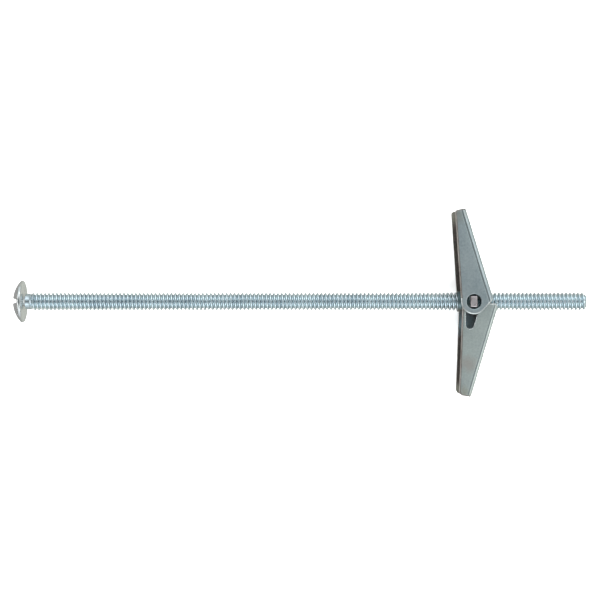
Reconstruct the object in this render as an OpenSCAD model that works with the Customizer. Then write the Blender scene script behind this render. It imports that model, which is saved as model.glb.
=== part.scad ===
// Spring toggle bolt: a slotted machine screw, a trunnion nut on its thread, two
// channel-shaped wings that hinge on the nut's ears, and the spring that opens them.
//
// +X runs along the screw from the head to its free end, and +Z along the wings' pivot.
// The origin is on the screw's axis, in the plane of the head's bearing face.
// The wings are drawn open. Each folds back beside the screw, towards the head.

/* [Screw] */
// Length from the head's bearing face to the free end
screw_len = 150.6; // [125:0.1:181]
// Major diameter of the thread
screw_d = 4.83; // [4:0.01:5.7]
// Diameter of the plain neck under the head
neck_d = 4.2; // [3.5:0.05:4.7]
// Length of the plain neck
neck_len = 2.4; // [1:0.1:6]
// Length of the bevel at the free end
end_bevel = 0.8; // [0.4:0.1:1.5]

/* [Head] */
// Diameter of the head
head_d = 11.2; // [9.3:0.05:13.4]
// Height of the domed head
head_h = 2.95; // [2.4:0.05:3.5]
// Radius of the rim's rounded edges
rim_r = 0.3; // [0.15:0.01:0.4]
// Height of the rim's straight side
rim_h = 0.4; // [0.1:0.05:0.6]
// Width of the driver slot
slot_w = 1.3; // [0.8:0.05:1.8]
// Depth of the driver slot below the crown
slot_depth = 1.75; // [0.9:0.05:1.9]
// Turn of the slot about the screw's axis
slot_turn = -4; // [-90:1:90]

/* [Nut] */
// Distance from the head's bearing face to the wings' pivot
pivot_x = 120.0; // [100:0.1:121]
// Thickness of the nut's plate
plate_t = 1.8; // [1.4:0.05:2.2]
// Width of the plate across the screw
plate_w = 6.8; // [6:0.1:8]
// Width of each ear that a wing turns on
ear_w = 3.0; // [2.4:0.05:3.2]
// How far the threaded collar ends from the pivot, on the head's side
collar_reach = 4.0; // [3.2:0.1:4.8]
// Wall of the collar round the thread
collar_wall = 0.25; // [0.2:0.01:0.3]

/* [Wings] */
// Thickness of the wings' sheet
sheet_t = 0.75; // [0.6:0.01:0.9]
// Length of the outer wing from the pivot to its tip
outer_len = 24.6; // [20.5:0.1:29.5]
// Length of the inner wing from the pivot to its tip
inner_len = 24.8; // [20.7:0.1:29.8]
// Radius of the pivot holes
pivot_hole_r = 2.0; // [1.9:0.01:2.3]
// Distance from the pivot to the back of the outer wing
outer_back = 5.25; // [4.8:0.05:5.7]
// Distance from the pivot to the back of the inner wing
inner_back = 6.65; // [6.2:0.05:7.3]
// Lean of the open outer wing away from square to the screw
outer_lean = 17.0; // [14:0.1:20.5]
// Lean of the open inner wing away from square to the screw
inner_lean = 16.6; // [13.8:0.1:20]
// Radius of the outer wing's rounded hub
outer_hub_r = 3.4; // [3.1:0.05:3.6]
// Radius of the inner wing's rounded hub
inner_hub_r = 2.95; // [2.8:0.05:3.3]
// Depth of the outer wing at its tip
outer_tip = 3.15; // [2.6:0.05:3.8]
// Depth of the inner wing at its tip
inner_tip = 3.6; // [3:0.05:4.3]
// Outside radius of the outer wing's bends
outer_bend = 1.35; // [1:0.05:1.6]
// Outside radius of the inner wing's bends
inner_bend = 1.1; // [1:0.05:1.3]
// Distance from the pivot to the round end of the tapered hole in the inner wing's upper side
tail_reach = 6.2; // [5.2:0.1:7.4]
// Radius of the round end of that hole
tail_r = 1.11; // [0.9:0.01:1.3]

/* [Spring] */
// Diameter of the spring's wire
wire_d = 0.36; // [0.3:0.01:0.37]
// Whole turns in each coil
coil_turns = 2; // [1:1:2]
// Radius of a coil, to the middle of its wire
coil_r = 2.1; // [2:0.05:2.5]
// Length of the spring's arms along the wings
arm_reach = 9.3; // [7.8:0.1:11.1]

/* [Clearances] */
// Between the screw and the nut's bore, on the radius
bore_gap = 0.055; // [0.02:0.005:0.09]
// Between the plates of the outer wing and of the inner wing
nest_gap = 0.12; // [0.08:0.01:0.2]
// Between the spring and what lies beside it
spring_gap = 0.04; // [0.03:0.005:0.08]
// Between the screw and the open end of a wing's back
notch_gap = 0.75; // [0.5:0.05:1]
// How far an ear's end lies inside the outer wing's face
ear_inset = 0.2; // [0:0.05:0.5]

/* [Hidden] */
$fn = 64;

screw_r = screw_d / 2;
bore_r = screw_r + bore_gap;
collar_r = bore_r + collar_wall;
hub_half = bore_r + 0.17;                     // half the nut plate's width along the pivot

// Along the pivot, from the middle out: collar, spring coil, inner wing, outer wing
coil_low = collar_r + spring_gap;
coil_high = coil_low + 1.12;
inner_half = coil_high + spring_gap + sheet_t;
outer_half = inner_half + nest_gap + sheet_t;
ear_half = outer_half - ear_inset;

far = 40;                                     // past every edge of a wing
tip_corner = 0.35;                            // rounding of a tip's corner at the back
tip_slant = 0.22;                             // how much shorter a wing is at its back
outer_tip_round = 0.8;                        // rounding of its corner at the free edge
inner_tip_round = 1.3;
outer_end = -1.1;                             // where the outer wing's back ends, past the pivot
inner_end = -1.45;
outer_end_round = 0.3;
inner_end_round = 0.9;

zinc = "lightsteelblue";
dull_zinc = "#98a8a8";

// ---- flat outlines ----

// Unit normal on the right of the line that touches circle a, then circle b, on that side
function touch_normal(a, b) =
    let (d = [b[0] - a[0], b[1] - a[1]],
         angle = atan2(d[1], d[0]) - acos((a[2] - b[2]) / norm(d)))
    [cos(angle), sin(angle)];

// Convex outline round circles [x, y, r], which are listed anticlockwise
module belt(circles) {
    count = len(circles);
    polygon([for (i = [0:count - 1])
        let (a = circles[i], b = circles[(i + 1) % count], n = touch_normal(a, b))
        each [[a[0] + a[2] * n[0], a[1] + a[2] * n[1]],
              [b[0] + b[2] * n[0], b[1] + b[2] * n[1]]]]);
    for (c = circles) translate([c[0], c[1]]) circle(c[2]);
}

// Section of a channel's solid: half-width, height of its back and radius of its corners
module channel_block(half, back, r) {
    translate([-far, -half]) square([far + back - r, 2 * half]);
    translate([0, r - half]) square([back, 2 * (half - r)]);
    for (side = [-1, 1]) translate([back - r, side * (half - r)]) circle(r);
}

// ---- wings ----
// A wing is drawn with x along it from the pivot to the tip, y towards its back and z
// along the pivot, and is then turned into its open place.

// Folded sheet that fills an outline: two side plates joined by the back
module channel(half, back, bend) {
    intersection() {
        linear_extrude(2 * far, center = true) children();
        rotate([90, 0, 90]) linear_extrude(2 * far, center = true) difference() {
            channel_block(half, back, bend);
            channel_block(half - sheet_t, back - sheet_t, bend - sheet_t);
        }
    }
}

// Round-ended cut in the back that lets the screw through when the wing is open
module screw_notch(back, lean) {
    notch_r = screw_r + 0.325;
    end = (screw_r + notch_gap - (back - sheet_t) * sin(lean)) / cos(lean);
    translate([end - notch_r, back - 2 * sheet_t, 0]) rotate([-90, 0, 0]) {
        cylinder(h = 3 * sheet_t, r = notch_r);
        translate([-far, -notch_r, 0]) cube([far, 2 * notch_r, 3 * sheet_t]);
    }
}

module outer_wing() {
    color(dull_zinc)
    translate([pivot_x, 0, 0]) rotate(90 + outer_lean) mirror([0, 1, 0]) difference() {
        channel(outer_half, outer_back, outer_bend) belt([
            [0, 0, outer_hub_r],
            [outer_len - outer_tip_round, outer_back - outer_tip + outer_tip_round, outer_tip_round],
            [outer_len - tip_slant - tip_corner, outer_back - tip_corner, tip_corner],
            [outer_end + outer_end_round, outer_back - outer_end_round, outer_end_round]]);
        cylinder(h = far, r = pivot_hole_r, center = true);
        screw_notch(outer_back, outer_lean);
    }
}

// Outline of the inner wing: its end beside the hub is cut square to the screw
module inner_outline() {
    corner = inner_end_round / cos(inner_lean);
    circle(inner_hub_r);
    difference() {
        belt([
            [0, 0, inner_hub_r],
            [inner_len - inner_tip_round, inner_back - inner_tip + inner_tip_round, inner_tip_round],
            [inner_len - tip_slant - tip_corner, inner_back - tip_corner, tip_corner],
            [inner_end + corner * (1 + sin(inner_lean)), inner_back - inner_end_round,
             inner_end_round]]);
        translate([inner_end, inner_back]) rotate(90 + inner_lean)
            translate([-2 * far, 0]) square([3 * far, far]);
    }
}

module inner_wing() {
    tail_drop = 7.3;                          // turn of the tapered hole from the wing's length
    color(dull_zinc)
    translate([pivot_x, 0, 0]) rotate(-90 - inner_lean) difference() {
        channel(inner_half, inner_back, inner_bend) inner_outline();
        translate([0, 0, -far]) cylinder(h = far, r = pivot_hole_r);
        linear_extrude(far) rotate(tail_drop)
            belt([[0, 0, pivot_hole_r], [tail_reach, 0, tail_r]]);
        screw_notch(inner_back, inner_lean);
    }
}

// ---- nut ----

module trunnion_nut() {
    corner = 0.8;
    color("darkgray")
    translate([pivot_x, 0, 0]) difference() {
        union() {
            rotate([90, 0, 90]) linear_extrude(plate_t, center = true) {
                square([plate_w, 2 * (hub_half - corner)], center = true);
                square([plate_w - 2 * corner, 2 * hub_half], center = true);
                for (y = [-1, 1], z = [-1, 1])
                    translate([y * (plate_w / 2 - corner), z * (hub_half - corner)])
                        circle(corner);
            }
            cube([plate_t, ear_w, 2 * ear_half], center = true);
            rotate([0, -90, 0]) cylinder(h = collar_reach, r = collar_r);
        }
        rotate([0, 90, 0]) cylinder(h = 4 * collar_reach, r = bore_r, center = true);
    }
}

// ---- screw ----

// Points of an arc that turns from one angle to another in a number of steps
function arc(centre, r, from, to, count) =
    [for (i = [0:count])
        let (angle = from + (to - from) * i / count)
        centre + r * [cos(angle), sin(angle)]];

// Domed head as a solid of revolution about x: bearing face, rounded edge, straight side of
// the rim, and a second rounded edge that meets the dome where the two arcs share a normal
module head() {
    rim_at = head_d / 2 - rim_r;
    rim_top = rim_r + rim_h;
    rise = head_h - rim_top;
    dome_r = (rim_at ^ 2 + rise ^ 2 - rim_r ^ 2) / (2 * (rise - rim_r));
    join = atan2(dome_r - rise, rim_at);
    rotate([0, -90, 0]) rotate_extrude() polygon(concat(
        [[0, 0]],
        arc([rim_at, rim_r], rim_r, -90, 0, 8),
        arc([rim_at, rim_top], rim_r, 0, join, 5),
        arc([0, head_h - dome_r], dome_r, join, 90, 20)));
}

module machine_screw() {
    bevel_r = 0.7;
    color(zinc)
    difference() {
        union() {
            head();
            rotate([0, 90, 0]) {
                cylinder(h = neck_len + 1, d = neck_d);
                translate([0, 0, neck_len])
                    cylinder(h = screw_len - neck_len - end_bevel, r = screw_r);
                translate([0, 0, screw_len - end_bevel])
                    cylinder(h = end_bevel, r1 = screw_r, r2 = screw_r - bevel_r);
            }
        }
        rotate([slot_turn, 0, 0]) translate([-head_h - 1, -slot_w / 2, -head_d])
            cube([slot_depth + 1, slot_w, 2 * head_d]);
    }
}

// ---- spring ----
// One wire: an arm along the inner wing, a coil round an ear, an arm along the outer wing,
// across its back, and the same again in reverse. It is swept along rings of points, each
// [place, direction, side], about the pivot.

wire_r = wire_d / 2;
arm_z = coil_high - wire_r;                   // outer end of a coil, towards the inner wing
bail_z = coil_low + wire_r;                   // inner end of a coil, towards the outer wing
bail_round = 1.0;                             // bend where the wire turns across the back
arm_tuck = 0.5;                               // how far an arm's end leans in from its coil
steps = 20;                                   // rings in one turn of a coil
sides = 8;

// Place on a wing, in the screw's frame: how far along it, how high, and which wing
function on_wing(along, high, lean, way) =
    [high * cos(lean) - along * sin(lean), way * (along * cos(lean) + high * sin(lean))];

// Angle at which a line from a point touches the coil on its +X side
function touch_angle(p, way) = atan2(p[1], p[0]) - way * acos(coil_r / norm(p));

arm_end = on_wing(arm_reach, inner_back - sheet_t - wire_r - spring_gap, inner_lean, -1);
bail_end = on_wing(arm_reach, outer_back - sheet_t - wire_r - spring_gap, outer_lean, 1);
arm_angle = touch_angle(arm_end, -1);
bail_angle = touch_angle(bail_end, 1) + 360 * coil_turns;
arm_way = [-sin(arm_angle), cos(arm_angle), 0];
bail_way = [-sin(bail_angle), cos(bail_angle), 0];

function side_of(way) = [-way[1], way[0], 0];
function coil_rings() =
    let (count = ceil(steps * (bail_angle - arm_angle) / 360))
    [for (i = [0:count])
        let (angle = arm_angle + (bail_angle - arm_angle) * i / count,
             z = arm_z + (bail_z - arm_z) * i / count,
             way = [-sin(angle), cos(angle), 0])
        [[coil_r * cos(angle), coil_r * sin(angle), z], way, side_of(way)]];
function bail_rings() =
    [for (i = [0:5])
        let (turn = 90 * i / 5)
        [[bail_end[0], bail_end[1], bail_z]
             + bail_way * bail_round * (sin(turn) - 1)
             - [0, 0, bail_round * (1 - cos(turn))],
         bail_way * cos(turn) - [0, 0, sin(turn)], side_of(bail_way)]];
function half_rings() =
    concat([[[arm_end[0], arm_end[1], arm_z - arm_tuck], arm_way, side_of(arm_way)]],
           coil_rings(), bail_rings());
function flip(v) = [v[0], v[1], -v[2]];
function all_rings() =
    let (half = half_rings(), last = len(half) - 1)
    concat(half, [for (i = [last:-1:0])
        [flip(half[i][0]), -flip(half[i][1]), half[i][2]]]);

module wing_spring() {
    rings = all_rings();
    count = len(rings);
    points = [for (ring = rings, i = [0:sides - 1])
        ring[0] + wire_r * (cos(360 * i / sides) * ring[2]
                            + sin(360 * i / sides) * cross(ring[1], ring[2]))];
    walls = [for (k = [0:count - 2], i = [0:sides - 1])
        let (j = (i + 1) % sides)
        [k * sides + i, (k + 1) * sides + i, (k + 1) * sides + j, k * sides + j]];
    ends = [[for (i = [0:sides - 1]) i],
            [for (i = [sides - 1:-1:0]) (count - 1) * sides + i]];
    color("slategray")
    translate([pivot_x, 0, 0]) polyhedron(points, concat(walls, ends));
}

machine_screw();
trunnion_nut();
outer_wing();
inner_wing();
wing_spring();
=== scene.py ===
"""Looks for the spring toggle bolt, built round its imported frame.

Lengths are in millimetres until a mesh is made. +X runs along the screw to its free end,
+Y along the open outer wing and +Z along the wings' pivot.
"""

import math

import bmesh
import bpy
import numpy as np
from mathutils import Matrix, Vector
from mathutils.geometry import delaunay_2d_cdt


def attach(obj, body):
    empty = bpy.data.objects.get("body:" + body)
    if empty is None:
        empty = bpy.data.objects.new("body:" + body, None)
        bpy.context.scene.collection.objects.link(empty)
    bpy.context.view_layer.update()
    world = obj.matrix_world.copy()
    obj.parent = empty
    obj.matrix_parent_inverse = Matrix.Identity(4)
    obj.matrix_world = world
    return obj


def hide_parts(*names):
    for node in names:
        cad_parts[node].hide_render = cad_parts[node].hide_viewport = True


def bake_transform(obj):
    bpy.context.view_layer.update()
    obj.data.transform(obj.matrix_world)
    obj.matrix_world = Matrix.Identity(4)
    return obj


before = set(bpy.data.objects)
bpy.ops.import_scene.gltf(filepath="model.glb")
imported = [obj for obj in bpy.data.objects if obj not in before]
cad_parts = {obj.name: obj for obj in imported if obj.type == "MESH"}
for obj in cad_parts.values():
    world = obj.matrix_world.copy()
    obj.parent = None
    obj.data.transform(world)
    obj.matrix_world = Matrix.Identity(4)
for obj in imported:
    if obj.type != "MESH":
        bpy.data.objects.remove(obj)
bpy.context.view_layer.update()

MM = 0.001

# ---- sizes, the same as the solids', and the edges and fine shapes that only the looks have ----

PIVOT_X = 120.0
SCREW_LEN = 150.6
SCREW_R = 2.415
PITCH = 25.4 / 24
FIRST_CREST = 2.40                    # where a crest first passes the +Y side
NECK_R = 2.1
END_BEVEL = 0.8

HEAD_R = 5.6
HEAD_H = 2.95
RIM_R = 0.3
RIM_H = 0.4                           # height of the rim's straight side
SLOT_W = 1.3
SLOT_FLOOR = 1.2                      # height of the slot's floor above the bearing face
SLOT_TURN = math.radians(-4)
SLOT_LIP = 0.3                        # width of the fine rows of mesh beside the slot

SHEET_T = 0.75
TIP_SLANT = 0.22                      # how much shorter a wing is at its back
TIP_CORNER = 0.35                     # rounding of the back's corner at the tip
PIVOT_HOLE_R = 2.0
TAIL_REACH = 6.2                      # how far the tapered hole reaches from the pivot
TAIL_R = 1.11
TAIL_DROP = math.radians(7.3)
NOTCH_R = SCREW_R + 0.325
NOTCH_GAP = 0.75
EDGE_OUT = (0.42, 0.24)               # width and depth of a sheared edge's rounding outside
HOLE_OUT = (0.18, 0.14)               # and round a hole
EDGE_IN = (0.10, 0.10)                # and inside
NUT_EDGE = (0.24, 0.22)               # and on the nut's plate
# Outline edges further from the hub than this take a darker brown: painted shade.
HUB_EDGE = 1.2                        # how far past the screw's axis the hubs' bright edges reach

PLATE_T = 1.8
PLATE_W = 6.8
PLATE_CORNER = 0.8
EAR_W = 3.0
EAR_ROOT = 0.3                        # rounding between an ear and the plate
EAR_BURR = 0.34                       # rounding of an ear's end
BORE_R = SCREW_R + 0.055
COLLAR_R = BORE_R + 0.25
COLLAR_REACH = 4.0
HUB_HALF = BORE_R + 0.17

WIRE_R = 0.18
COIL_R = 2.1
COIL_TURNS = 2
ARM_REACH = 9.3
LEAD_IN = 0.25                        # how far a straight end laps over its coil
BAIL_BEND = 1.0
SPRING_GAP = 0.04
COIL_LOW = COLLAR_R + SPRING_GAP
COIL_HIGH = COIL_LOW + 1.12
ARM_Z = COIL_HIGH - WIRE_R
BAIL_Z = COIL_LOW + WIRE_R
ARM_TUCK = 0.5

INNER_HALF = COIL_HIGH + SPRING_GAP + SHEET_T
OUTER_HALF = INNER_HALF + 0.12 + SHEET_T
EAR_HALF = OUTER_HALF - 0.2

FLOOR_Z = -5.6


# ---- materials ----

def maths(tree, operation, *values):
    """Output of a maths node whose inputs are sockets or numbers."""
    made = tree.nodes.new("ShaderNodeMath")
    made.operation = operation
    for place, value in zip(made.inputs, values):
        if isinstance(value, (int, float)):
            place.default_value = value
        else:
            tree.links.new(value, place)
    return made.outputs[0]


def times(tree, a, b):
    return maths(tree, "MULTIPLY", a, b)


def ramp(tree, fac, stops):
    made = tree.nodes.new("ShaderNodeValToRGB")
    band = made.color_ramp
    while len(band.elements) < len(stops):
        band.elements.new(0.5)
    for element, (place, colour) in zip(band.elements, stops):
        element.position = place
        element.color = (*colour, 1)
    tree.links.new(fac, made.inputs["Fac"])
    return made.outputs["Color"]


def grey(v):
    return (v, v, v)


def span(tree, value, low, high, to_low, to_high):
    """The value moved from one range to another, and held at its ends."""
    made = tree.nodes.new("ShaderNodeMapRange")
    made.inputs["From Min"].default_value = low
    made.inputs["From Max"].default_value = high
    made.inputs["To Min"].default_value = to_low
    made.inputs["To Max"].default_value = to_high
    tree.links.new(value, made.inputs["Value"])
    return made.outputs["Result"]


def mix(tree, share, a, b):
    """Colour a where the share is 0 and b where it is 1."""
    made = tree.nodes.new("ShaderNodeMix")
    made.data_type = "RGBA"
    tree.links.new(share, made.inputs["Factor"])
    for socket, colour in ((made.inputs["A"], a), (made.inputs["B"], b)):
        if isinstance(colour, tuple):
            socket.default_value = (*colour, 1)
        else:
            tree.links.new(colour, socket)
    return made.outputs["Result"]


def noise_value(tree, where, scale, detail=3, rough=0.55, stretch=(1, 1, 1)):
    """Noise whose features are about 1000/scale millimetres across."""
    mapped = tree.nodes.new("ShaderNodeMapping")
    mapped.inputs["Scale"].default_value = stretch
    tree.links.new(where, mapped.inputs["Vector"])
    made = tree.nodes.new("ShaderNodeTexNoise")
    made.inputs["Scale"].default_value = scale
    made.inputs["Detail"].default_value = detail
    made.inputs["Roughness"].default_value = rough
    tree.links.new(mapped.outputs["Vector"], made.inputs["Vector"])
    return made.outputs["Fac"]


def spot(tree, where, centre, radius):
    """1 at a place on the object, falling to 0 at a radius, with a ragged edge."""
    away = tree.nodes.new("ShaderNodeVectorMath")
    away.operation = "DISTANCE"
    away.inputs[1].default_value = [c * MM for c in centre]
    tree.links.new(where, away.inputs[0])
    size = radius * MM
    rough = noise_value(tree, where, 420, 4)
    ragged = maths(tree, "MULTIPLY_ADD", rough, size * 1.1, away.outputs["Value"])
    return span(tree, ragged, size * 1.5, size * 0.55, 0, 1)


def plated(name, light, dark, rough, grain, stains_and_painted_light=(), streak=(1, 1, 1), bump=0.25):
    """Zinc plate: mottled, a little streaky, with fine pits and any named patches, each a real
    stain or painted light or shade. A patch has a centre and a radius in millimetres, a colour and a
    strength."""
    material = bpy.data.materials.new(name)
    material.use_nodes = True
    tree = material.node_tree
    shader = tree.nodes["Principled BSDF"]
    shader.inputs["Metallic"].default_value = 1.0
    where = tree.nodes.new("ShaderNodeTexCoord").outputs["Object"]
    cloudy = noise_value(tree, where, grain * 0.35, 4, 0.6)
    streaky = noise_value(tree, where, grain, 3, 0.6, streak)
    fine = noise_value(tree, where, grain * 6, 2, 0.5)
    speckled = maths(tree, "ADD", times(tree, cloudy, 0.5), times(tree, streaky, 0.3))
    speckled = maths(tree, "ADD", speckled, times(tree, fine, 0.2))
    colour = ramp(tree, speckled, [(0.36, dark), (0.64, light)])
    gloss = span(tree, speckled, 0.3, 0.7, rough * 1.25, rough * 0.8)
    # Each named patch, a real stain or painted light or shade, is mixed over the plate's colour.
    for centre, radius, tint, strength in stains_and_painted_light:
        share = times(tree, spot(tree, where, centre, radius), strength)
        colour = mix(tree, share, colour, tint)
    tree.links.new(colour, shader.inputs["Base Color"])
    tree.links.new(gloss, shader.inputs["Roughness"])
    relief = tree.nodes.new("ShaderNodeBump")
    relief.inputs["Strength"].default_value = bump
    relief.inputs["Distance"].default_value = 0.02 * MM
    tree.links.new(maths(tree, "ADD", streaky, times(tree, fine, 0.5)), relief.inputs["Height"])
    tree.links.new(relief.outputs["Normal"], shader.inputs["Normal"])
    return material


BROWN = (0.26, 0.19, 0.15)
OLIVE = (0.55, 0.54, 0.43)
DARK_OLIVE = (0.42, 0.42, 0.37)
# Painted light: the pale patches on the wings' inner faces near their open tips, where light gets in.
TIP_LIGHT_OLIVE = (0.62, 0.60, 0.50)
TAN = (0.64, 0.57, 0.52)
# Painted shade: the teal of the far plate's shaded inner face, seen through the tapered hole.
HOLE_SHADE_TEAL = (0.46, 0.64, 0.72)

# The crest copy of the thread's plate is lighter and the flank and root copy darker: painted shade in the
# thread's grooves.
CREST = plated("thread_crest_zinc", (0.86, 0.95, 0.98), (0.72, 0.82, 0.87), 0.20, 700,
               streak=(0.4, 1, 1), bump=0.3)
SHADED_FLANK = plated("thread_flank_painted_shade", (0.74, 0.83, 0.86), (0.52, 0.61, 0.66), 0.22, 700,
               streak=(0.4, 1, 1), bump=0.3)
NECK = plated("neck_zinc_plate", (0.76, 0.84, 0.88), (0.46, 0.55, 0.60), 0.24, 1100, bump=0.5)
HEAD = plated("head_zinc_plate", (0.73, 0.75, 0.74), (0.60, 0.61, 0.61), 0.24, 500, bump=0.3)
# Painted shade: the nut is given a very dark plate, for the shadow it sits in deep between the wings.
SHADED_NUT = plated("nut_zinc_painted_shade", (0.21, 0.27, 0.285), (0.10, 0.145, 0.155), 0.34, 500,
             stains_and_painted_light=[((116.2, -2.3, 1.0), 1.6, BROWN, 0.8)])
EAR_END = plated("ear_sheared_end", (0.98, 0.88, 0.88), (0.42, 0.36, 0.37), 0.30, 2400,
                 streak=(2.5, 0.5, 1), bump=1.0)
OUTER = plated("outer_wing_zinc", (0.70, 0.77, 0.785), (0.375, 0.445, 0.47), 0.34, 320,
               stains_and_painted_light=[((115.2, 23.0, 5.2), 4.0, DARK_OLIVE, 0.7)],
               streak=(1, 0.25, 1), bump=0.25)
INNER = plated("inner_wing_zinc", (0.835, 0.90, 0.86), (0.49, 0.545, 0.53), 0.34, 320,
               stains_and_painted_light=[((118.4, -16.6, 4.6), 3.2, TAN, 0.75),
                       ((117.4, -24.2, 4.6), 2.6, OLIVE, 0.6),
                       ((116.9, -2.2, 4.6), 1.3, BROWN, 0.7)],
               streak=(1, 0.25, 1), bump=0.25)
EDGE = plated("sheared_edge_zinc", (0.80, 0.84, 0.84), (0.60, 0.62, 0.60), 0.28, 900,
              streak=(1, 0.3, 3), bump=0.4)
# Painted shade: edges away from the hubs are a darker brown, for the dark that their rounding reflects.
SHADED_EDGE = plated("edge_painted_shade", (0.48, 0.46, 0.43), (0.27, 0.24, 0.22), 0.40, 700,
                   streak=(1, 0.3, 3), bump=0.5)
# Painted shade: the wings' inner faces are a dark brown for the shadow inside the channel; the pale olive
# patches near the tips are painted light and the teal patch under the tapered hole is painted shade.
CHANNEL_SHADE = plated("wing_inside_painted_shade", (0.34, 0.31, 0.28), (0.17, 0.145, 0.13), 0.42, 320,
                stains_and_painted_light=[((115.0, 23.4, -5.0), 4.2, TIP_LIGHT_OLIVE, 0.9),
                        ((116.8, -24.2, -4.2), 3.0, TIP_LIGHT_OLIVE, 0.8),
                        ((118.3, -6.0, -3.9), 5.0, HOLE_SHADE_TEAL, 0.95)],
                streak=(1, 0.2, 1), bump=0.4)
# Painted shade: the pressed lines where the bends meet the side plates are given darker materials.
SHADED_CREASE = plated("bend_crease_painted_shade", (0.30, 0.34, 0.35), (0.19, 0.22, 0.23), 0.42, 600, bump=0.3)
SHADED_SEAM = plated("bend_seam_painted_shade", (0.42, 0.47, 0.47), (0.28, 0.32, 0.32), 0.40, 600, bump=0.3)
# Painted shade: the spring wire is made very dark, for the shadow it lies in between the wings.
SHADED_SPRING = plated("spring_wire_painted_shade", (0.20, 0.31, 0.33), (0.08, 0.14, 0.15), 0.32, 900)


# ---- meshes ----

def piece(name, points, faces, body, materials, normals=None, sharp=None, face_slots=None):
    """A closed mesh from points in millimetres, which rides on a body if one is named."""
    mesh = bpy.data.meshes.new(name)
    mesh.from_pydata([tuple(c * MM for c in p) for p in points], [], faces)
    for material in materials:
        mesh.materials.append(material)
    if face_slots:
        mesh.polygons.foreach_set("material_index", face_slots)
    work = bmesh.new()
    work.from_mesh(mesh)
    bmesh.ops.remove_doubles(work, verts=work.verts, dist=1e-8)
    bmesh.ops.recalc_face_normals(work, faces=work.faces)
    for face in work.faces:
        face.smooth = True
    work.to_mesh(mesh)
    work.free()
    if sharp is not None:
        mesh.set_sharp_from_angle(angle=math.radians(sharp))
    if normals is not None and len(normals) == len(mesh.vertices):
        mesh.normals_split_custom_set_from_vertices(normals)
    made = bpy.data.objects.new(name, mesh)
    bpy.context.scene.collection.objects.link(made)
    if body:
        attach(made, body)
    return made


# ---- screw ----

SHANK_SIDES = 40
SHANK_START = 0.2                     # inside the head's fillet
RUN_IN_FROM = 1.4                     # where the thread starts to rise from the neck
RUN_IN = 1.4
NECK_LOOKS_TO = 2.2                   # where the neck's plating gives way to the thread's
BEVEL_DEPTH = 0.43

# Half a pitch of the thread: share of a pitch past the crest's middle, and depth below it
THREAD_HALF = [(0.08, 0.0), (0.13, 0.02), (0.17, 0.08), (0.41, 0.575), (0.46, 0.625)]
THREAD_ROWS = [(share, SCREW_R - depth) for share, depth in THREAD_HALF]
THREAD_ROWS += [(1 - share, r) for share, r in reversed(THREAD_ROWS)]
# The groove's faces, flank and root, take the darker flank copy of the plate: painted shade.
SHADED_ROWS = range(2, 7)              # rows after which the groove's faces start
BEVEL_AT = SCREW_LEN - END_BEVEL
ROLL_AT = SCREW_LEN - 0.25
END_RINGS = [(SCREW_LEN - 0.12, 1.80), (SCREW_LEN - 0.03, 1.55), (SCREW_LEN, 1.2)]


def thread_r(phase):
    """Radius of the thread at a share of a pitch past the crest's middle."""
    phase %= 1
    rows = [(THREAD_ROWS[-1][0] - 1, SCREW_R), *THREAD_ROWS, (THREAD_ROWS[0][0] + 1, SCREW_R)]
    for (p0, r0), (p1, r1) in zip(rows, rows[1:]):
        if p0 <= phase <= p1:
            return r0 + (r1 - r0) * (phase - p0) / (p1 - p0)
    return SCREW_R


def shank_r(x, phase):
    """Radius of the shank: plain neck, thread that runs in over it, and bevelled end."""
    run_in = min(1, max(0, (x - RUN_IN_FROM) / RUN_IN))
    r = NECK_R + (thread_r(phase) - NECK_R) * run_in * run_in * (3 - 2 * run_in)
    if x > BEVEL_AT:
        r = min(r, SCREW_R - BEVEL_DEPTH * (x - BEVEL_AT) / (ROLL_AT - BEVEL_AT))
    return r


def ring_of(x, radii):
    """Points round the screw's axis, one for each radius."""
    turns = [math.tau * j / len(radii) for j in range(len(radii))]
    return [(x, r * math.cos(turn), r * math.sin(turn)) for r, turn in zip(radii, turns)]


def threaded_shank():
    """Rows of points that each wind once round the screw, so that the end of a row meets the
    start of the row a pitch further on, and the rings that close both ends."""
    count = SHANK_SIDES
    low, high = SHANK_START, ROLL_AT
    per_turn = len(THREAD_ROWS)
    turns = int((high - low) / PITCH) + 4
    first = math.floor((low - FIRST_CREST) / PITCH) - 1
    rows = [first + k // per_turn + THREAD_ROWS[k % per_turn][0] for k in range(turns * per_turn)]
    points, faces, slots = [], [], []
    for row in rows:
        for j in range(count):
            turn = j / count
            x = min(high, max(low, FIRST_CREST + (row + turn) * PITCH))
            r = shank_r(x, (x - FIRST_CREST) / PITCH - turn)
            points.append((x, r * math.cos(math.tau * turn), r * math.sin(math.tau * turn)))
    for i in range(len(rows) - 1):
        for j in range(count):
            a = i * count + j
            b = a + 1 if j + 1 < count else (i + per_turn) * count
            if b + count < len(points):
                faces.append((a, a + count, b + count, b))
                on_neck = points[a][0] < NECK_LOOKS_TO
                slots.append(2 if on_neck else int(i % per_turn in SHADED_ROWS))
    start = len(points)
    points.append((low, 0, 0))
    last = [shank_r(high, (high - FIRST_CREST) / PITCH - j / count) for j in range(count)]
    rings = []
    for x, limit in [(high, SCREW_R), *END_RINGS]:
        rings.append(range(len(points), len(points) + count))
        points += ring_of(x, [min(limit, r) for r in last])
    tip = len(points)
    points.append((SCREW_LEN, 0, 0))
    neck = range(len(points), len(points) + count)
    points += ring_of(low, [NECK_R] * count)
    for j in range(count):
        k = (j + 1) % count
        faces.append((start, neck[k], neck[j]))
        for a, b in zip(rings, rings[1:]):
            faces.append((a[j], b[j], b[k], a[k]))
        faces.append((rings[-1][j], tip, rings[-1][k]))
    slots += [1] * (len(faces) - len(slots))
    made = piece("threaded_shank", points, faces, "screw", [CREST, SHADED_FLANK, NECK], sharp=22,
                 face_slots=slots)
    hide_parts("machine_screw")


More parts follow.
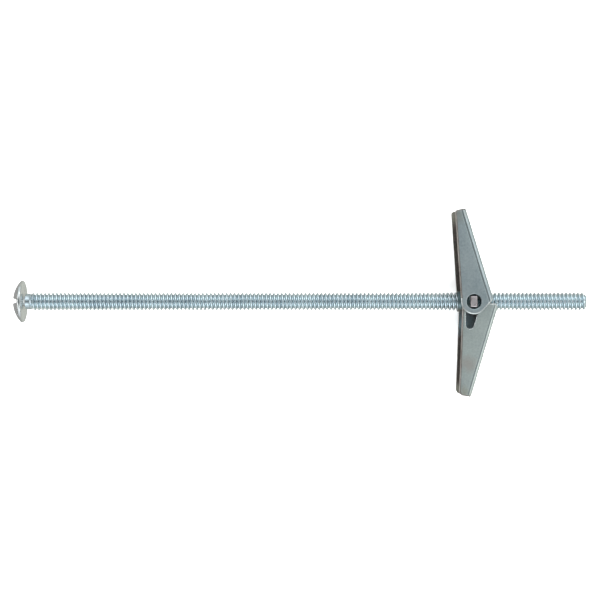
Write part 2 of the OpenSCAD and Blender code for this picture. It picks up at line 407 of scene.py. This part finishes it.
def screw_head():
    """Dome cut by the driver slot, on a grid that runs along the slot, then the rolled rim,
    the bearing face and the fillet into the neck."""
    rim_at = HEAD_R - RIM_R
    rim_top = RIM_R + RIM_H
    rise = HEAD_H - rim_top
    dome_r = (rim_at ** 2 + rise ** 2 - RIM_R ** 2) / (2 * (rise - RIM_R))
    join = math.atan2(dome_r - rise, rim_at)
    reach = rim_at + RIM_R * math.cos(join)

    def height(a, b):
        return HEAD_H - dome_r + math.sqrt(dome_r ** 2 - min(a * a + b * b, reach ** 2))

    slot_end = math.sqrt(dome_r ** 2 - (SLOT_FLOOR - HEAD_H + dome_r) ** 2)
    half = SLOT_W / 2
    lip = half + SLOT_LIP
    inner = [(0.0, "floor"), (half * 0.5, "floor"), (half - 0.12, "floor"), (half - 0.03, "foot"),
             (half, "brow"), (half + 0.09, "dome"), (lip, "dome")]
    start = math.asin(lip / reach)
    outer = [(reach * math.sin(start + (math.pi / 2 - start) * k / 11), "dome") for k in range(1, 11)]
    side = inner + outer
    rows = [(-b, kind) for b, kind in reversed(side[1:])] + side
    rows = [(-reach, "edge"), *rows, (reach, "edge")]
    ends, middle = 5, 22
    points, grid = [], []
    for b, kind in rows:
        placed = []
        chord = math.sqrt(max(0, reach ** 2 - b * b))
        if kind == "edge":
            chord = reach * math.cos(math.asin(side[-1][0] / reach)) * 0.62
        if abs(b) < half + 0.2:
            within = math.sqrt(slot_end ** 2 - b * b)
        else:
            within = chord * 0.9
        places = [-chord + (chord - within) * k / ends for k in range(ends)]
        places += [-within + 2 * within * k / middle for k in range(middle)]
        places += [within + (chord - within) * k / ends for k in range(ends + 1)]
        for a in places:
            across = b
            if kind == "edge":
                across = math.copysign(math.sqrt(reach ** 2 - a * a), b)
            h = height(a, across)
            depth = min(1, max(0, (h - SLOT_FLOOR) / 0.25))
            if kind == "floor":
                h = min(h, SLOT_FLOOR)
            elif kind == "foot":
                h = min(h, SLOT_FLOOR + 0.09 * depth)
            elif kind == "brow":
                h -= 0.08 * depth
            placed.append(len(points))
            points.append((-h, a, across))
        grid.append(placed)
    faces = []
    for p, q in zip(grid, grid[1:]):
        faces += [(p[k], p[k + 1], q[k + 1], q[k]) for k in range(len(p) - 1)]
    loop = ([row[0] for row in grid] + grid[-1][1:-1]
            + [row[-1] for row in reversed(grid)] + grid[0][-2:0:-1])
    # Height and radius down the rolled rim, across the bearing face and into the neck
    upper_turns = [join * (1 - k / 4) for k in range(1, 5)]
    lower_turns = [math.pi / 2 * k / 6 for k in range(7)]
    profile = [(rim_top + RIM_R * math.sin(turn), rim_at + RIM_R * math.cos(turn))
               for turn in upper_turns]
    profile += [(RIM_R * (1 - math.sin(turn)), rim_at + RIM_R * math.cos(turn))
                for turn in lower_turns]
    profile += [(0, 4.6), (0, 3.4), (0, 2.75), (-0.04, 2.5), (-0.13, 2.31), (-0.27, 2.18), (-0.5, 2.09)]
    ring = loop
    for h, r in profile:
        made = []
        for k in loop:
            turn = math.atan2(points[k][2], points[k][1])
            made.append(len(points))
            points.append((-h, r * math.cos(turn), r * math.sin(turn)))
        faces += [(ring[i], ring[(i + 1) % len(ring)], made[(i + 1) % len(ring)], made[i])
                  for i in range(len(ring))]
        ring = made
    centre = len(points)
    points.append((0.5, 0, 0))
    faces += [(ring[i], ring[(i + 1) % len(ring)], centre) for i in range(len(ring))]
    # The slot runs along z, turned about the screw's axis
    turned = []
    for x, a, b in points:
        y0, z0 = b, a
        turned.append((x, y0 * math.cos(SLOT_TURN) - z0 * math.sin(SLOT_TURN),
                       y0 * math.sin(SLOT_TURN) + z0 * math.cos(SLOT_TURN)))
    piece("screw_head", turned, faces, "screw", [HEAD], sharp=50)


# ---- sheet parts ----
# A sheet is drawn flat in (u, s) with its outer side up, and a place function folds it.

LEAST_AREA = 1e-4                     # a region with no triangle above this lies along an edge
CLEAR_OF_EDGES = 0.12                 # inner points nearer than this to an edge are left out


def area(loop):
    """Area inside a loop, above 0 where the loop runs anticlockwise."""
    return sum(a[0] * b[1] - b[0] * a[1] for a, b in zip(loop, loop[1:] + loop[:1])) / 2


def turned_way(loop, anticlockwise):
    return loop if (area(loop) > 0) == anticlockwise else loop[::-1]


def filled_in(loop, step):
    """The loop with sides longer than a step split, and repeated points left out."""
    made = []
    for a, b in zip(loop, loop[1:] + loop[:1]):
        length = math.dist(a, b)
        if length < 1e-5:
            continue
        parts = max(1, math.ceil(length / step))
        made += [(a[0] + (b[0] - a[0]) * k / parts, a[1] + (b[1] - a[1]) * k / parts)
                 for k in range(parts)]
    return made


def outward(loop):
    """Outward unit direction at each point, and the miter that offsets the loop evenly."""
    made = []
    for before, here, after in zip(loop[-1:] + loop[:-1], loop, loop[1:] + loop[:1]):
        n = []
        for a, b in ((before, here), (here, after)):
            length = math.dist(a, b)
            n.append(((b[1] - a[1]) / length, (a[0] - b[0]) / length))
        x, y = n[0][0] + n[1][0], n[0][1] + n[1][1]
        size = math.hypot(x, y)
        made.append(((x / size, y / size), min(2.0, 2 / size)))
    return made


def inside(points, loops):
    """Which points lie in the first loop and outside the others, by crossings."""
    points = np.array(points)
    hits = np.zeros(len(points), int)
    for loop in loops:
        a = np.array(loop)
        b = np.roll(a, -1, axis=0)
        for (x0, y0), (x1, y1) in zip(a, b):
            if y0 == y1:
                continue
            cross = ((points[:, 1] >= min(y0, y1)) & (points[:, 1] < max(y0, y1)))
            at = x0 + (points[:, 1] - y0) * (x1 - x0) / (y1 - y0)
            hits += cross & (at > points[:, 0])
    return hits % 2 == 1


def clear_of(points, loops, gap):
    """Which points are further than the gap from every loop."""
    points = np.array(points)
    near = np.full(len(points), 1e9)
    for loop in loops:
        a = np.array(loop)
        d = np.roll(a, -1, axis=0) - a
        for p, v in zip(a, d):
            t = np.clip(((points - p) @ v) / max(v @ v, 1e-12), 0, 1)
            near = np.minimum(near, np.linalg.norm(points - p - t[:, None] * v, axis=1))
    return near > gap


def filling(flat, joins, loops):
    """Triangles inside the loops, each with its middle. Loop edges are the only walls, so the
    thin triangles that straight sides make are kept or dropped with their whole region."""
    filled = delaunay_2d_cdt([Vector(p) for p in flat], joins, [], 0, 1e-7)
    coords, edges, triangles, origins, walls = filled[:5]
    blocked = {frozenset(edge) for edge, wall in zip(edges, walls) if wall}
    beside = {}
    for k, t in enumerate(triangles):
        for side in zip(t, t[1:] + t[:1]):
            beside.setdefault(frozenset(side), []).append(k)
    reached = [False] * len(triangles)
    made = []
    for start in range(len(triangles)):
        if reached[start]:
            continue
        reached[start] = True
        waiting, members = [start], []
        while waiting:
            k = waiting.pop()
            members.append(k)
            t = triangles[k]
            for side in zip(t, t[1:] + t[:1]):
                if frozenset(side) in blocked:
                    continue
                for other in beside[frozenset(side)]:
                    if not reached[other]:
                        reached[other] = True
                        waiting.append(other)
        corners = [[coords[k] for k in triangles[member]] for member in members]
        middles = [tuple(sum(three, Vector((0, 0))) / 3) for three in corners]
        sizes = [abs(area(three)) for three in corners]
        widest = middles[sizes.index(max(sizes))]
        if max(sizes) > LEAST_AREA and inside([widest], loops)[0]:
            for member, middle in zip(members, middles):
                made.append(([origins[k][0] for k in triangles[member]], middle))
    return made


def slab(loops, rows, thickness, edges, place, axes, kind=None):
    """A sheet with rounded edges: points, faces, normals and each face's kind.
    loops[0] is the outline and the rest are holes. rows are lines of inner points. edges are
    the roundings of the outline and of holes outside, and of both inside. A face's kind is 0
    on the outer side unless kind(u, s) says otherwise, 1 on the outline's edge, 2 inside and
    4 on a hole's edge."""
    loops = [turned_way(loop, k == 0) for k, loop in enumerate(loops)]
    steps = [math.radians(t) for t in (0, 25, 50, 72, 90)]
    points, normals, faces, kinds = [], [], [], []
    inset_loops, top, bottom = [], [], []
    for index, loop in enumerate(loops):
        ways = outward(loop)
        count = len(loop)
        made = []
        edge, deep = edges[min(index, 1)]
        rings = [(edge * (1 - math.sin(t)), deep * (1 - math.cos(t)),
                  math.atan2(math.sin(t) / edge, math.cos(t) / deep)) for t in steps]
        edge_in, deep_in = edges[2]
        rings += [(edge_in * (1 - math.sin(t)), thickness - deep_in * (1 - math.cos(t)), math.pi - t)
                  for t in reversed(steps)]
        for off, h, turn in rings:
            placed = []
            for (u, s), (n, miter) in zip(loop, ways):
                flat = (u - n[0] * off * miter, s - n[1] * off * miter)
                across, along, up = axes(*flat)
                placed.append(len(points))
                points.append(place(*flat, h))
                normals.append(up * math.cos(turn) + (across * n[0] + along * n[1]) * math.sin(turn))
            made.append(placed)
        for p, q in zip(made, made[1:]):
            faces += [(p[k], q[k], q[(k + 1) % count], p[(k + 1) % count]) for k in range(count)]
            kinds += [1 if index == 0 else 4] * count
        inset_loops.append([(u - n[0] * edge * miter, s - n[1] * edge * miter)
                            for (u, s), (n, miter) in zip(loop, ways)])
        top.append(made[0])
        bottom.append(made[-1])
    flat, joins, tops, bottoms = [], [], [], []
    for loop, a, b in zip(inset_loops, top, bottom):
        base = len(flat)
        flat += loop
        joins += [(base + k, base + (k + 1) % len(loop)) for k in range(len(loop))]
        tops += a
        bottoms += b
    for row in rows:
        good = inside(row, inset_loops) & clear_of(row, inset_loops, CLEAR_OF_EDGES)
        for point, keep in zip(row, good):
            if keep:
                across, along, up = axes(*point)
                tops.append(len(points))
                points.append(place(*point, 0))
                normals.append(up)
                bottoms.append(len(points))
                points.append(place(*point, thickness))
                normals.append(-up)
                flat.append(point)
    for t, middle in filling(flat, joins, inset_loops):
        faces.append(tuple(tops[k] for k in t))
        faces.append(tuple(bottoms[k] for k in reversed(t)))
        kinds += [kind(*middle) if kind else 0, 2]
    return points, faces, normals, kinds


def touch_angle_of(a, b):
    """Direction of the outward normal of the line that touches circle a, then circle b."""
    d = (b[0] - a[0], b[1] - a[1])
    return math.atan2(d[1], d[0]) - math.acos((a[2] - b[2]) / math.hypot(*d))


def arc_points(circle, start, end, step=0.12):
    """Points on a circle from one direction to another, clockwise where end is lower."""
    x, y, r = circle
    count = max(2, math.ceil(abs(end - start) * r / step))
    return [(x + r * math.cos(start + (end - start) * k / count),
             y + r * math.sin(start + (end - start) * k / count)) for k in range(count + 1)]


def belt(circles):
    """Convex loop round circles that are listed anticlockwise."""
    made = []
    for before, here, after in zip(circles[-1:] + circles[:-1], circles, circles[1:] + circles[:1]):
        start, end = touch_angle_of(before, here), touch_angle_of(here, after)
        while end < start:
            end += math.tau
        made += arc_points(here, start, end, 0.2)
    return made


class Wing:
    """A folded channel: two side plates and a back, with the shape of one of the solids.
    It lies in u along the wing from the pivot, v from the pivot to its back and z along the
    pivot. Laid flat it has u and s, where s runs round its section from the back's middle."""

    def __init__(self, name, way, half, length, back, bend, lean, hub_r, tip, tip_round, end, end_round,
                 groove):
        self.name, self.way, self.half, self.back, self.bend = name, way, half, back, bend
        self.lean, self.hub_r, self.end, self.groove = math.radians(lean), hub_r, end, groove
        self.s1 = half - bend
        self.s2 = self.s1 + bend * math.pi / 2
        self.hub = (0, 0, hub_r)
        self.length = length
        self.corner = (length - tip_round, back - tip + tip_round, tip_round)
        self.heel = (length - TIP_SLANT - TIP_CORNER, back - TIP_CORNER, TIP_CORNER)
        self.end_round = end_round

    def out(self, u, v, z):
        """A place on the wing in the screw's frame."""
        c, s = math.cos(self.lean), math.sin(self.lean)
        return (PIVOT_X + v * c - u * s, self.way * (u * c + v * s), z)

    def vector(self, u, v, z):
        """A direction on the wing in the screw's frame."""
        c, s = math.cos(self.lean), math.sin(self.lean)
        return Vector((v * c - u * s, self.way * (u * c + v * s), z))

    def groove_depth(self, s):
        """Pressed line where the bend meets the side plate."""
        depth, width = self.groove
        return depth * math.exp(-((abs(s) - self.s2 + 0.05) / width) ** 2)

    def place(self, u, s, h):
        """Where a flat point lies on the folded wing, at a depth h below its outer side."""
        side = -1 if s < 0 else 1
        s = abs(s)
        h = h + self.groove_depth(s) * (1 - h / SHEET_T)
        if s <= self.s1:
            v, z = self.back - h, s
        elif s <= self.s2:
            turn = (s - self.s1) / self.bend
            v = self.back - self.bend + (self.bend - h) * math.cos(turn)
            z = self.half - self.bend + (self.bend - h) * math.sin(turn)
        else:
            v, z = self.back - self.bend - (s - self.s2), self.half - h
        return self.out(u, v, side * z)

    def axes(self, u, s):
        """Directions of u, of s and of the outer side at a flat point."""
        side = -1 if s < 0 else 1
        turn = min(1, max(0, (abs(s) - self.s1) / (self.s2 - self.s1))) * math.pi / 2
        up = Vector((0, math.cos(turn), side * math.sin(turn)))
        along = Vector((0, -side * math.sin(turn), math.cos(turn)))
        slope = (self.groove_depth(abs(s) + 0.01) - self.groove_depth(abs(s) - 0.01)) / 0.02
        up = (up + along * side * slope).normalized()
        return self.vector(1, 0, 0), self.vector(*along), self.vector(*up)

    def kind(self, u, s):
        """Material of the outer side: 3 in the pressed line, whose darker material is painted shade."""
        return 3 if abs(abs(s) - self.s2 + 0.05) < 1.1 * self.groove[1] else 0

    def plate_s(self, v):
        """Where a height v above the pivot lies once the sheet is flat."""
        if v <= self.back - self.bend:
            return self.s2 + self.back - self.bend - v
        return self.s1 + self.bend * math.acos(min(1, (v - self.back + self.bend) / self.bend))

    def outline(self):
        """The near side's outline in (u, v), from the back's tip round to the back's end."""
        quarter = math.pi / 2
        path = arc_points(self.heel, quarter, touch_angle_of(self.corner, self.heel), 0.04)
        path += arc_points(self.corner, touch_angle_of(self.corner, self.heel),
                           touch_angle_of(self.hub, self.corner), 0.1)
        if self.way > 0:
            heel_end = (self.end + self.end_round, self.back - self.end_round, self.end_round)
            leave = touch_angle_of(heel_end, self.hub)
            start = touch_angle_of(self.hub, self.corner)
            path += arc_points(self.hub, start, leave - math.tau if leave > start else leave, 0.15)
            if leave >= 0:
                leave -= math.tau
            path += arc_points(heel_end, leave, quarter - math.tau, 0.04)
        else:
            slope = math.tan(self.lean)
            at = self.end + self.end_round / math.cos(self.lean) * (1 + math.sin(self.lean))
            heel_end = (at, self.back - self.end_round, self.end_round)
            # The cut end's line, u = end + slope (back - v), meets the hub's circle at v
            k = self.end + slope * self.back
            a, b, c = 1 + slope ** 2, -2 * k * slope, k * k - self.hub_r ** 2
            v = (-b + math.sqrt(b * b - 4 * a * c)) / (2 * a)
            u = k - slope * v
            path += arc_points(self.hub, touch_angle_of(self.hub, self.corner),
                               math.atan2(v, u) - math.tau, 0.15)
            path += arc_points(heel_end, -math.pi + self.lean, quarter - math.tau, 0.06)
        return path

    def loop(self):
        """The whole sheet's flat outline, with the notch that the screw passes through."""
        path = self.outline()
        limit = self.back - self.bend
        lower = [k for k, (_, v) in enumerate(path) if v < limit]
        tip, body, end = path[:lower[0] + 1], path[lower[0]:lower[-1] + 1], path[lower[-1]:]

        def crossing(part, v):
            for (u0, v0), (u1, v1) in zip(part, part[1:]):
                if min(v0, v1) - 1e-9 <= v <= max(v0, v1) + 1e-9:
                    return u0 + (u1 - u0) * ((v - v0) / (v1 - v0) if abs(v1 - v0) > 1e-9 else 0)
            return part[0][0]

        turns = [math.pi / 2 * k / 12 for k in range(13)]
        near = []
        for turn in turns:
            v = limit + self.bend * math.cos(turn)
            near.append((crossing(tip, v), self.s1 + self.bend * turn))
        near += [(u, self.plate_s(v)) for u, v in body]
        for turn in reversed(turns):
            v = limit + self.bend * math.cos(turn)
            near.append((crossing(end[::-1], v), self.s1 + self.bend * turn))
        notch_end = SCREW_R + NOTCH_GAP - (self.back - SHEET_T) * math.sin(self.lean)
        centre = notch_end / math.cos(self.lean) - NOTCH_R
        at = near[-1][0]
        if at < centre:
            notch = [(at, NOTCH_R)] + arc_points((centre, 0, NOTCH_R), math.pi / 2, -math.pi / 2, 0.5)
            notch.append((at, -NOTCH_R))
        else:
            turn = math.acos((at - centre) / NOTCH_R)
            notch = arc_points((centre, 0, NOTCH_R), turn, -turn, 0.5)
        loop = near + notch + [(u, -s) for u, s in reversed(near)]
        return filled_in(loop, 0.55)

    def rows(self):
        """Lines of inner points along the wing, close together in the bends and the grooves."""
        bends = [self.s1 + (self.s2 - self.s1) * k / 10 for k in range(11)]
        grooves = [self.s2 - 0.05 + self.groove[1] * k for k in (-2, -1.3, -0.65, 0, 0.65, 1.3, 2)]
        levels = sorted({round(x, 4) for x in [0, self.s1 * 0.5, *bends, *grooves]})
        kept = []
        for x in levels:
            if not kept or x - kept[-1] > 0.05:
                kept.append(x)
        levels = [-x for x in reversed(kept) if x > 0] + kept
        places = [self.end - 0.5 + 0.7 * k for k in range(int((self.length + 3) / 0.7))]
        return [[(u, s) for u in places] for s in levels]

    def build(self, upper_hole, lower_hole, materials):
        """The sheet's mesh. Its holes are outlines in (u, v). Edges away from the hub take the last
        material, a darker brown that paints the shade their rounding reflects."""
        loops = [self.loop()]
        for side, hole in ((1, upper_hole), (-1, lower_hole)):
            loops.append(filled_in([(u, side * self.plate_s(v)) for u, v in hole], 0.3))
        points, faces, normals, kinds = slab(loops, self.rows(), SHEET_T, (EDGE_OUT, HOLE_OUT, EDGE_IN),
                                             self.place, self.axes, self.kind)
        # Outline edges away from the hub take slot 5, a darker brown: painted shade for the dark that
        # their rounding reflects.
        for k, face in enumerate(faces):
            if kinds[k] == 1 and self.way * points[face[0]][1] > HUB_EDGE:
                kinds[k] = 5
        made = piece(self.name + "_sheet", points, faces, self.name, materials, normals,
                     face_slots=kinds)
        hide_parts(self.name)


def wings():
    outer = Wing("outer_wing", way=1, half=OUTER_HALF, length=24.6, back=5.25, bend=1.35, lean=17.0,
                 hub_r=3.4, tip=3.15, tip_round=0.8, end=-1.1, end_round=0.45, groove=(0.10, 0.17))
    inner = Wing("inner_wing", way=-1, half=INNER_HALF, length=24.8, back=6.65, bend=1.1, lean=16.6,
                 hub_r=2.95, tip=3.6, tip_round=1.3, end=-1.45, end_round=0.9, groove=(0.07, 0.14))
    round_hole = arc_points((0, 0, PIVOT_HOLE_R), 0, math.tau, 0.25)[:-1]
    tail = (TAIL_REACH * math.cos(TAIL_DROP), TAIL_REACH * math.sin(TAIL_DROP), TAIL_R)
    tapered_hole = belt([(0, 0, PIVOT_HOLE_R), tail])
    outer.build(round_hole, round_hole, [OUTER, EDGE, CHANNEL_SHADE, SHADED_CREASE, OUTER, SHADED_EDGE])
    inner.build(tapered_hole, round_hole, [INNER, EDGE, CHANNEL_SHADE, SHADED_SEAM, EDGE, SHADED_EDGE])
    return outer, inner


# ---- nut ----

def nut_plate():
    """A cross whose upper and lower arms are the ears, with the bore through its middle."""
    half = PLATE_W / 2
    quarter = math.pi / 2
    side = arc_points((half - PLATE_CORNER, HUB_HALF - PLATE_CORNER, PLATE_CORNER), 0, quarter, 0.15)
    side += arc_points((EAR_W / 2 + EAR_ROOT, HUB_HALF + EAR_ROOT, EAR_ROOT), -quarter, -2 * quarter, 0.1)
    side += arc_points((EAR_W / 2 - EAR_BURR, EAR_HALF - EAR_BURR, EAR_BURR), 0, quarter, 0.08)
    loop = side + [(-y, z) for y, z in reversed(side)]
    loop += [(-y, -z) for y, z in side] + [(y, -z) for y, z in reversed(side)]
    hole = arc_points((0, 0, BORE_R), 0, math.tau, 0.25)[:-1]

    def place(y, z, h):
        return (PIVOT_X + PLATE_T / 2 - h, y, z)

    def axes(y, z):
        return Vector((0, 1, 0)), Vector((0, 0, 1)), Vector((1, 0, 0))

    points, faces, normals, kinds = slab([filled_in(loop, 0.4), hole], [], PLATE_T, (NUT_EDGE,) * 3,
                                         place, axes)
    end_from = EAR_HALF - EAR_BURR - 0.02
    ends = [int(kind == 1 and min(abs(points[k][2]) for k in face) > end_from)
            for face, kind in zip(faces, kinds)]
    made = piece("nut_plate", points, faces, "nut", [SHADED_NUT, EAR_END], normals, face_slots=ends)
    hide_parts("trunnion_nut")


def nut_collar():
    """The extruded collar, flared where it leaves the plate and rounded at its lip."""
    face = PIVOT_X - PLATE_T / 2
    lip = PIVOT_X - COLLAR_REACH
    section = [(face + 0.3, COLLAR_R), (face + 0.05, COLLAR_R + 0.24), (face - 0.06, COLLAR_R + 0.12),
               (face - 0.2, COLLAR_R + 0.03), (face - 0.4, COLLAR_R), (face - 1.5, COLLAR_R),
               (lip + 0.1, COLLAR_R), (lip + 0.03, COLLAR_R - 0.03), (lip, COLLAR_R - 0.1),
               (lip + 0.03, BORE_R + 0.03), (lip + 0.15, BORE_R), (face - 0.5, BORE_R),
               (face + 0.3, BORE_R)]
    count = 56
    points, faces = [], []
    for x, r in section:
        points += ring_of(x, [r] * count)
    for i in range(len(section)):
        a, b = i * count, (i + 1) % len(section) * count
        for j in range(count):
            k = (j + 1) % count
            faces.append((a + j, b + j, b + k, a + k))
    piece("nut_collar", points, faces, "nut", [SHADED_NUT], sharp=50)


# ---- spring ----

def tube(paths, name, body):
    """Round wire along each path of points, closed at both ends."""
    count = 12
    points, faces = [], []
    for path in paths:
        path = [Vector(p) for p in path]
        base = len(points)
        side = None
        for k, p in enumerate(path):
            way = (path[min(k + 1, len(path) - 1)] - path[max(k - 1, 0)]).normalized()
            if side is None:
                side = way.orthogonal().normalized()
            side = (side - way * side.dot(way)).normalized()
            other = way.cross(side)
            for j in range(count):
                turn = math.tau * j / count
                points.append(tuple(p + (side * math.cos(turn) + other * math.sin(turn)) * WIRE_R))
        for k in range(len(path) - 1):
            for j in range(count):
                a, b = base + k * count + j, base + k * count + (j + 1) % count
                faces.append((a, a + count, b + count, b))
        faces.append(tuple(base + j for j in range(count)))
        faces.append(tuple(base + (len(path) - 1) * count + j for j in reversed(range(count))))
    return piece(name, points, faces, body, [SHADED_SPRING], sharp=50)


def on_wing(wing, along, high):
    """A place on a wing, midway between its side plates, from the pivot."""
    x, y, _ = wing.out(along, high, 0)
    return Vector((x - PIVOT_X, y, 0))


def mirrored(path):
    return [Vector((p.x, p.y, -p.z)) for p in path]


def line(a, b, count):
    return [a.lerp(b, k / count) for k in range(count + 1)]


def touch(p, way):
    """Direction from the pivot to where a straight wire through p leaves the coil."""
    return math.atan2(p.y, p.x) - way * math.acos(COIL_R / p.length)


def spring(outer, inner):
    """Coils that ride on the nut, and arms along the inner wing and a bail along the outer wing,
    which ride on no body."""
    gap = SHEET_T + WIRE_R + SPRING_GAP
    arm_end = on_wing(inner, ARM_REACH, inner.back - gap)
    bail_end = on_wing(outer, ARM_REACH, outer.back - gap)
    pivot = Vector((PIVOT_X, 0, 0))
    start = touch(arm_end, -1)
    stop = touch(bail_end, 1) + math.tau * COIL_TURNS

    def on_coil(turn, height):
        return pivot + Vector((COIL_R * math.cos(turn), COIL_R * math.sin(turn), height))

    count = 90
    coil = []
    for k in range(count + 1):
        share = k / count
        coil.append(on_coil(start + (stop - start) * share, ARM_Z + (BAIL_Z - ARM_Z) * share))
    tube([coil, mirrored(coil)], "spring_coils", "nut")

    foot = on_coil(start, ARM_Z)
    tip = pivot + arm_end + Vector((0, 0, ARM_Z - ARM_TUCK))
    arm = line(foot + (foot - tip).normalized() * LEAD_IN, tip, 22)
    arms = tube([arm, mirrored(arm)], "spring_arms", None)
    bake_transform(arms)

    foot = on_coil(stop, BAIL_Z)
    tip = pivot + bail_end + Vector((0, 0, BAIL_Z))
    way = (tip - foot).normalized()
    bail = line(foot - way * LEAD_IN, tip - way * BAIL_BEND, 20)
    for k in range(1, 9):
        turn = math.pi / 2 * k / 8
        inward = Vector((0, 0, 1 - math.cos(turn)))
        bail.append(tip + (way * (math.sin(turn) - 1) - inward) * BAIL_BEND)
    side = bail + line(bail[-1], mirrored(bail)[-1], 10)[1:-1]
    bail = tube([side + mirrored(bail)[::-1]], "spring_bail", None)
    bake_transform(bail)
    for made in (arms, bail):
        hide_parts("wing_spring")


threaded_shank()
screw_head()
nut_plate()
nut_collar()
spring(*wings())


# ---- studio ----

def surroundings():
    """What the plating mirrors: dim overhead along the screw, a soft bright bank on each side
    of it, grey ahead of its free end, and dim below."""
    world = bpy.data.worlds.new("studio")
    bpy.context.scene.world = world
    world.use_nodes = True
    tree = world.node_tree
    parts = tree.nodes.new("ShaderNodeSeparateXYZ")
    tree.links.new(tree.nodes.new("ShaderNodeTexCoord").outputs["Generated"], parts.inputs[0])
    x, y, z = parts.outputs
    aside = maths(tree, "ABSOLUTE", y)
    bank = ramp(tree, aside, [(0.0, grey(0)), (0.25, grey(0.03)), (0.47, grey(0.85)),
                              (0.70, grey(1)), (1.0, grey(0.55))])
    bank = times(tree, bank, span(tree, maths(tree, "ABSOLUTE", x), 0.30, 0.62, 1, 0))
    sky = mix(tree, bank, (0.21, 0.232, 0.24), (1.28, 1.37, 1.41))
    ahead = times(tree, span(tree, x, 0.12, 0.45, 0, 1), span(tree, aside, 0.3, 0.7, 1, 0))
    sky = mix(tree, ahead, sky, (0.66, 0.70, 0.70))
    below = mix(tree, span(tree, x, -0.4, 0.15, 0, 1), (0.43, 0.425, 0.42), (0.64, 0.665, 0.615))
    rise = span(tree, z, -0.08, 0.12, 0, 1)
    tree.links.new(mix(tree, rise, below, sky), tree.nodes["Background"].inputs["Color"])


AIM = (0.075, 0, 0)                   # the middle of the screw, in metres


def softbox(name, where, wide, tall, radiance, colour=(1, 1, 1), seen=True):
    """Rectangular light at a place in metres, turned to the screw. One that isn't seen lights
    the floor but makes no reflection."""
    light = bpy.data.lights.new(name, "AREA")
    light.shape = "RECTANGLE"
    light.size = wide
    light.size_y = tall
    light.energy = radiance * math.pi * wide * tall
    light.color = colour
    made = bpy.data.objects.new(name, light)
    made.location = where
    made.rotation_mode = "QUATERNION"
    made.rotation_quaternion = (Vector(AIM) - Vector(where)).to_track_quat("-Z", "Y")
    made.visible_camera = False
    made.visible_glossy = seen
    bpy.context.scene.collection.objects.link(made)


def lights():
    softbox("box_upper", (0.075, 0.50, 0.46), 0.35, 0.08, 1.8, (0.95, 0.98, 1.0))
    softbox("box_lower", (0.075, -0.50, 0.46), 0.35, 0.08, 1.8, (0.95, 0.98, 1.0))
    softbox("box_head_low", (-0.55, 0, 0.10), 0.5, 0.14, 3.6)
    softbox("box_head_high", (-0.45, 0, 0.36), 0.5, 0.14, 2.4)
    softbox("box_ahead", (0.65, 0, 0.40), 0.5, 0.16, 1.6)
    for name, x, y in (("floor_right", 0.9, 0), ("floor_upper", 0.2, 0.8), ("floor_lower", 0.2, -0.8)):
        softbox(name, (x, y, 0.75), 1.5, 1.0, 6.5, seen=False)


def paper_floor():
    reach, level = 3.0, FLOOR_Z * MM
    corners = [(x * reach, y * reach, level) for x, y in ((-1, -1), (1, -1), (1, 1), (-1, 1))]
    mesh = bpy.data.meshes.new("floor")
    mesh.from_pydata(corners, [], [(0, 1, 2, 3)])
    floor = bpy.data.objects.new("floor", mesh)
    bpy.context.scene.collection.objects.link(floor)
    paper = bpy.data.materials.new("paper")
    paper.use_nodes = True
    shader = paper.node_tree.nodes["Principled BSDF"]
    shader.inputs["Base Color"].default_value = (0.9, 0.9, 0.9, 1)
    shader.inputs["Roughness"].default_value = 0.9
    shader.inputs["Specular IOR Level"].default_value = 0.0
    mesh.materials.append(paper)
    floor.visible_glossy = False


def camera_above():
    """A camera that looks straight down, with a little more than the screw's length in view."""
    high, view_wide, sensor = 0.400, 0.1609, 36
    camera = bpy.data.cameras.new("camera")
    camera.sensor_width = sensor
    camera.lens = sensor * high / view_wide
    camera.clip_start = 0.01
    camera.clip_end = 20
    made = bpy.data.objects.new("camera", camera)
    made.location = (0.07393, 0.0004, high)
    bpy.context.scene.collection.objects.link(made)
    bpy.context.scene.camera = made


surroundings()
lights()
paper_floor()
camera_above()
bpy.context.scene.view_settings.view_transform = "Standard"
